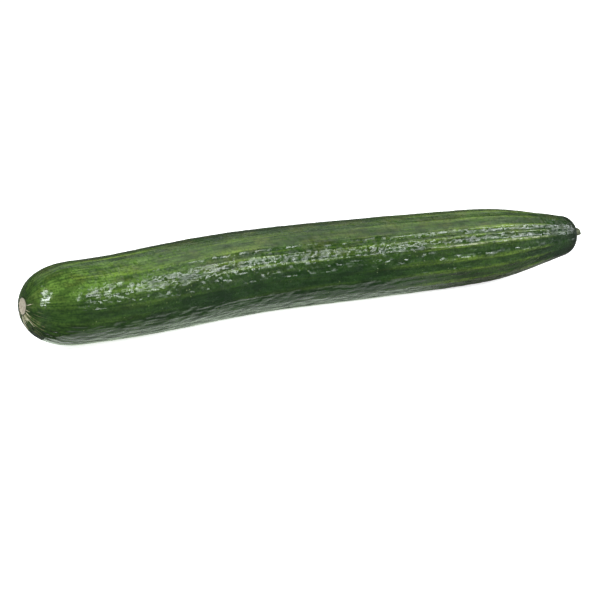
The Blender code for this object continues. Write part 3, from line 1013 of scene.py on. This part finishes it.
def dropped_place(tree, entry, share):
    """Where each point of a crack meets the skin, at this share of the way out."""
    turn = tree.add("GeometryNodeInputNamedAttribute", {"Name": "turn"})
    reach = tree.add("GeometryNodeInputNamedAttribute", {"Name": "reach"})
    out = tree.scale_add(share, reach, entry["Inner radius"])
    noise_place = tree.join(tree.times(turn, 7.0), tree.math("DIVIDE", out, CRACK_KINK), 0.0)
    wander = tree.math("SUBTRACT", tree.noise(noise_place, 1.0), 0.5)
    aside = tree.times(wander, entry["Wander"], share)
    angle = tree.math("ADD", turn, tree.math("DIVIDE", aside, out))
    y, z = tree.circle(angle, out)
    rays = {
        "Target Geometry": entry["Geometry"],
        "Source Position": tree.vector("ADD", entry["Scar"], tree.join(-DROP_START, y, z)),
        "Ray Direction": (1.0, 0.0, 0.0),
        "Ray Length": DROP_LENGTH,
    }
    return tree.add("GeometryNodeRaycast", rays, output="Hit Position")


def build_crack_tree():
    """Corky strips on the dome of the fruit, whose skin is the geometry that comes in."""
    others = {**dict.fromkeys(CRACK_NUMBERS, "Int"), "Scar": "Vector"}
    tree, entry = new_mesh_tree("scar cracks", CRACK_SIZES, others)
    share = tree.add("GeometryNodeSplineParameter")
    place = dropped_place(tree, entry, share)
    strips = {"Geometry": crack_starts(tree, entry), "Position": place}
    dropped = tree.add("GeometryNodeSetPosition", strips)
    swell = tree.math("SINE", tree.scale_add(share, *CRACK_TAPER))
    thick = tree.times(swell, entry["Width"], 0.5)
    profile = tree.add("GeometryNodeCurvePrimitiveCircle", {"Resolution": CRACK_CORNERS, "Radius": 1.0})
    strip = {"Curve": dropped, "Profile Curve": profile, "Scale": thick, "Fill Caps": True}
    solid = tree.add("GeometryNodeCurveToMesh", strip)
    smooth = tree.add("GeometryNodeSetShadeSmooth", {"Geometry": solid})
    return finish_mesh_tree(tree, smooth, entry["Material"])


crack_tree = build_crack_tree()
print("crack tree:", len(crack_tree.nodes), "nodes")

# %% [markdown]
# ## Laying the cracks
# The tree gets a copy of the finished skin to drop the cracks on, and the middle of the scar to start from.

# %% Crack material
CRACK_PALE = (0.62, 0.56, 0.4)
CRACK_DARK = (0.24, 0.23, 0.11)
CRACK_ROUGHNESS = 0.6


def make_cork_material():
    """Dry pale cork, browner in patches."""
    material, tree, shader = new_material("cork")
    place = tree.add("ShaderNodeTexCoord", output="Object")
    patches = tree.step(tree.noise(place, 700.0, detail=3.0), 0.35, 0.62)
    colour = tree.mix(patches, CRACK_DARK, CRACK_PALE)
    tree.fill(shader, {"Base Color": colour, "Roughness": CRACK_ROUGHNESS})
    return material


scar_middle = Vector(spine_frames(np.array([profile[0, 0]]))[0][0]) + frame_shift
crack_values = {**CRACK_SIZES, **CRACK_NUMBERS, "Scar": scar_middle, "Material": make_cork_material()}
cracks = apply_tree("scar_cracks", fruit.data.copy(), crack_tree, crack_values)
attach(cracks, "root")
print("scar cracks:", len(cracks.data.polygons), "faces")

# %% [markdown]
# ## The table
# The table is plain and white. Where the camera sees it, it glows a little, so that it stays white without
# a bright light on the fruit. To the skin it is dim, which keeps the lower half of the fruit a deep green.
# A card just under the fruit, which shows in the gloss alone, makes the grey band along the belly.

# %% Table and card
WHITE = (1.0, 1.0, 1.0)
TABLE_HALF = 6.0
TABLE_TOP = -0.1 * MM
TABLE_WHITE = (0.86, 0.86, 0.86)
TABLE_DIM = (0.16, 0.16, 0.16)
TABLE_GLOW = 0.84
TABLE_EDGE = (0.3, 1.2)  # the glow grows to 1 between these distances
TABLE_ROUGHNESS = 0.6
CARD_TOP = -0.05 * MM
CARD_MARGIN = 5 * MM
CARD_WIDENING = 4.0
CARD_START = 0.02
CARD_TAPER = 0.05
CARD_END_POWER = 8
CARD_NECK_X = (20 * MM, 100 * MM)
CARD_GLOW = 0.75
CARD_GREEN = (0.8, 1.0, 0.7)
CARD_DIM = (0.42, 0.44, 0.34)


def add_sheet(name, points, faces, material):
    """A flat piece of the surroundings."""
    mesh = bpy.data.meshes.new(name)
    mesh.from_pydata(points, [], faces)
    mesh.materials.append(material)
    return put_in_scene(name, mesh)


def add_table():
    """A plain pale floor, much wider than the view."""
    material, tree, shader = new_material("table")
    x, y, _ = tree.parts(tree.add("ShaderNodeTexCoord", output="Object"))
    seen = tree.add("ShaderNodeLightPath", output="Is Camera Ray")
    tree.fill(shader, {"Base Color": tree.mix(seen, TABLE_DIM, TABLE_WHITE), "Roughness": TABLE_ROUGHNESS})
    glow = tree.step(tree.length(tree.join(x, y, 0.0)), *TABLE_EDGE, TABLE_GLOW, 1.0)
    tree.fill(shader, {"Emission Color": WHITE, "Emission Strength": tree.times(seen, glow)})
    sides = ((-1, -1), (1, -1), (1, 1), (-1, 1))
    corners = [(side * TABLE_HALF, depth * TABLE_HALF, TABLE_TOP) for side, depth in sides]
    table = add_sheet("table", corners, [(0, 1, 2, 3)], material)


def card_outline():
    """Both edges of the card: the fruit's own outline and a margin, wider at the neck."""
    share = np.linspace(CARD_START, 1, 60)
    margin = CARD_MARGIN * (1 + CARD_WIDENING * np.clip(3 * share - 1.8, 0, 1))
    taper = np.clip((share - CARD_START) / CARD_TAPER, 0, 1) ** 0.5
    half = (smooth_radius(share) + margin) * taper * (1 - share**CARD_END_POWER)
    return [np.column_stack([share * LENGTH, bend_at(share) + side * half, 0 * share]) for side in (-1, 1)]


def add_card():
    """A bright strip, a little wider than the fruit, that shows only in the skin above it."""
    material, tree, shader = new_material("card")
    x, _, _ = tree.parts(tree.add("ShaderNodeTexCoord", output="Object"))
    neck = tree.step(x, *CARD_NECK_X)
    glow = tree.step(neck, 0.0, 1.0, CARD_GLOW, 0.0)
    tree.feed(shader.inputs["Base Color"], tree.mix(neck, TABLE_WHITE, CARD_DIM))
    tree.fill(shader, {"Emission Color": CARD_GREEN, "Emission Strength": glow})
    edges = card_outline()
    count = len(edges[0])
    points = np.concatenate(edges) + np.array(frame_shift) + (0, 0, CARD_TOP)
    faces = [(k, k + 1, k + 1 + count, k + count) for k in range(count - 1)]
    card = add_sheet("card", points.tolist(), faces, material)
    card.visible_camera = False
    card.visible_diffuse = False
    card.visible_shadow = False


add_table()
add_card()
print("table top and card top in mm:", round(1000 * TABLE_TOP, 2), round(1000 * CARD_TOP, 2))

# %% [markdown]
# ## The light
# A glossy skin is a picture of its lights, so each one is placed for the reflection that it makes: overhead
# for the broad grey-green sheen along the top, in front for the line of sparkles below it, at the right for
# the neck, and at the left for the glint on the dome. Behind the fruit, a wide light only fills the far
# side, and a thin one draws a weak line along it. The sky adds a little from all round.

# %% Lights
WARM_LIGHT = (1.0, 1.0, 0.95)
COOL_LIGHT = (0.93, 0.98, 1.0)
FRUIT_MIDDLE = (0.0, 0.0, 0.02)
SKY_STRENGTH = 0.09

# For each light: its place, what it faces, its width and height, and its radiance and colour
SOFT_LIGHTS = {
    "overhead": ((0.70, 0.02, 0.85), (0.70, 0.02, 0.0), (0.80, 0.80), 1.45, WARM_LIGHT),
    "front": ((0.62, -0.74, 0.48), FRUIT_MIDDLE, (1.00, 0.16), 21.0, COOL_LIGHT),
    "right": ((0.98, -0.42, 0.36), (0.15, 0.0, 0.02), (0.30, 0.30), 6.5, COOL_LIGHT),
    "back": ((0.30, 1.00, 0.42), FRUIT_MIDDLE, (2.40, 0.80), 1.3, COOL_LIGHT),
    "sheen": ((0.00, 0.80, 0.90), FRUIT_MIDDLE, (1.60, 0.20), 1.2, COOL_LIGHT),
    "left": ((-0.83, -0.45, 0.54), (-0.16, -0.02, 0.03), (0.28, 0.28), 41.0, COOL_LIGHT),
}
NOT_MIRRORED = ("back",)


def add_soft_light(name, place, aim, size, radiance, colour):
    """A rectangular soft light that faces the aim. White paper in full light has a radiance of 1."""
    light = bpy.data.lights.new(name, "AREA")
    light.shape = "RECTANGLE"
    light.size, light.size_y = size
    light.energy = radiance * math.pi * size[0] * size[1]
    light.color = colour
    lamp = put_in_scene(name, light)
    lamp.visible_glossy = name not in NOT_MIRRORED
    lamp.location = place
    lamp.rotation_euler = (Vector(aim) - Vector(place)).to_track_quat("-Z", "Y").to_euler()


def add_sky(strength):
    """Plain white surroundings that light the fruit only a little."""
    world = bpy.data.worlds.new("studio")
    world.use_nodes = True
    tree = Tree(world.node_tree)
    background = world.node_tree.nodes["Background"]
    seen = tree.add("ShaderNodeLightPath", output="Is Camera Ray")
    tree.fill(background, {"Color": WHITE, "Strength": tree.math("MAXIMUM", seen, strength)})
    SCENE.world = world


for light_name, settings in SOFT_LIGHTS.items():
    add_soft_light(light_name, *settings)
add_sky(SKY_STRENGTH)
SCENE.view_settings.view_transform = "Standard"
print("lights:", [item.name for item in bpy.data.lights])
